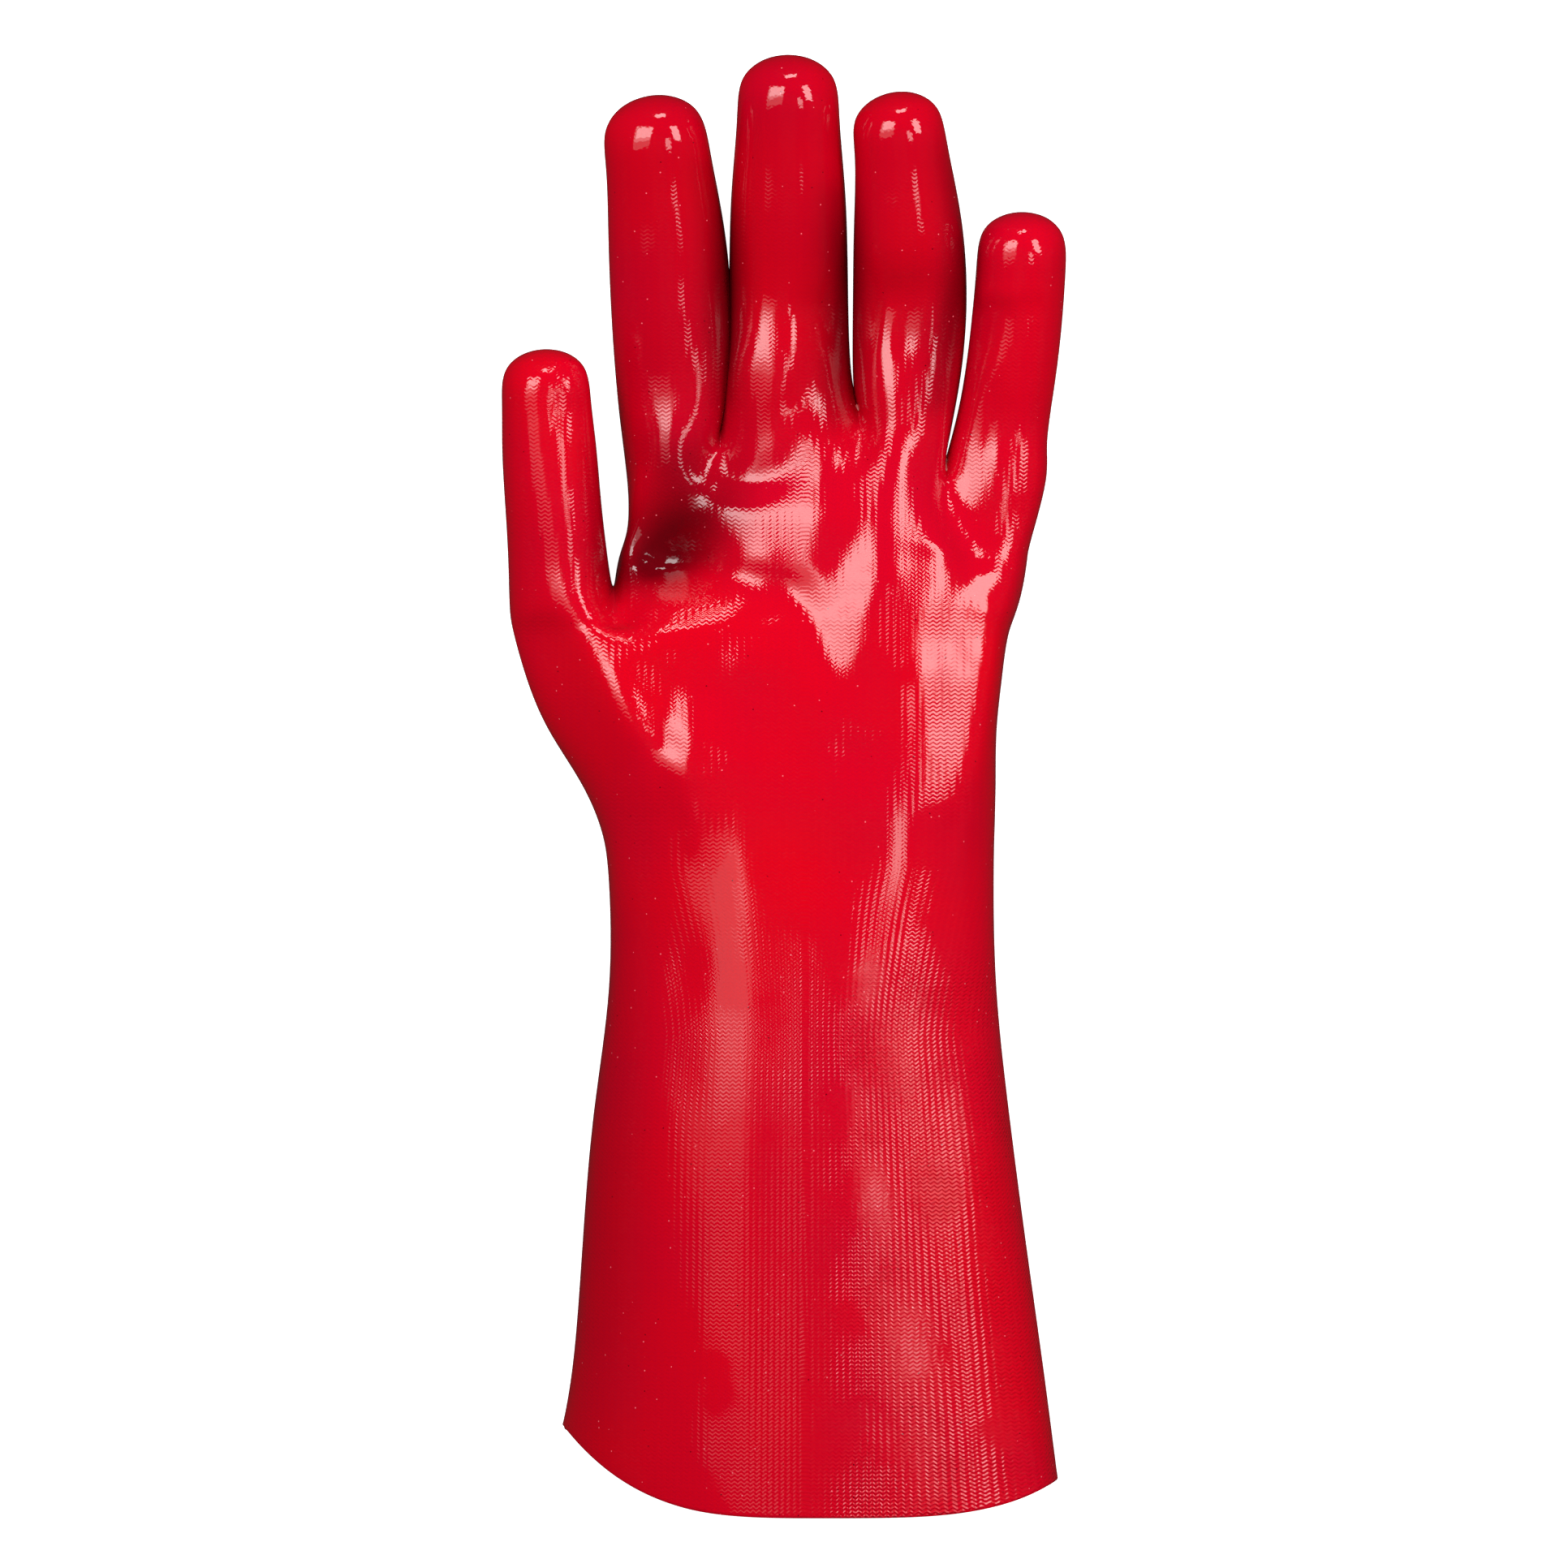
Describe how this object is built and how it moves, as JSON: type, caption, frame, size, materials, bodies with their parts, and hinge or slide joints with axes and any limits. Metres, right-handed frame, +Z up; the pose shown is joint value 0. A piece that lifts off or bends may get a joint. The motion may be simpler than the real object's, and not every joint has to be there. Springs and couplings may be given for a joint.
{
  "type": "pvc coated work glove",
  "caption": "Left-hand gauntlet work glove of knitted cotton dipped in glossy red PVC, lying palm up with its cut mouth open.",
  "frame": {"origin": "on the surface that the glove lies on, under the middle of its outline", "axes": "+X to the right with the thumb on the left, +Y from the mouth to the fingertips, +Z up out of the palm"},
  "size_m": [0.1352, 0.3496, 0.0646],
  "materials": {
    "pvc_coat": "glossy wet-look PVC dip over a knitted liner"
  },
  "bodies": {
    "root": {"coated_shell": "pvc_coat"}
  },
  "joints": []
}
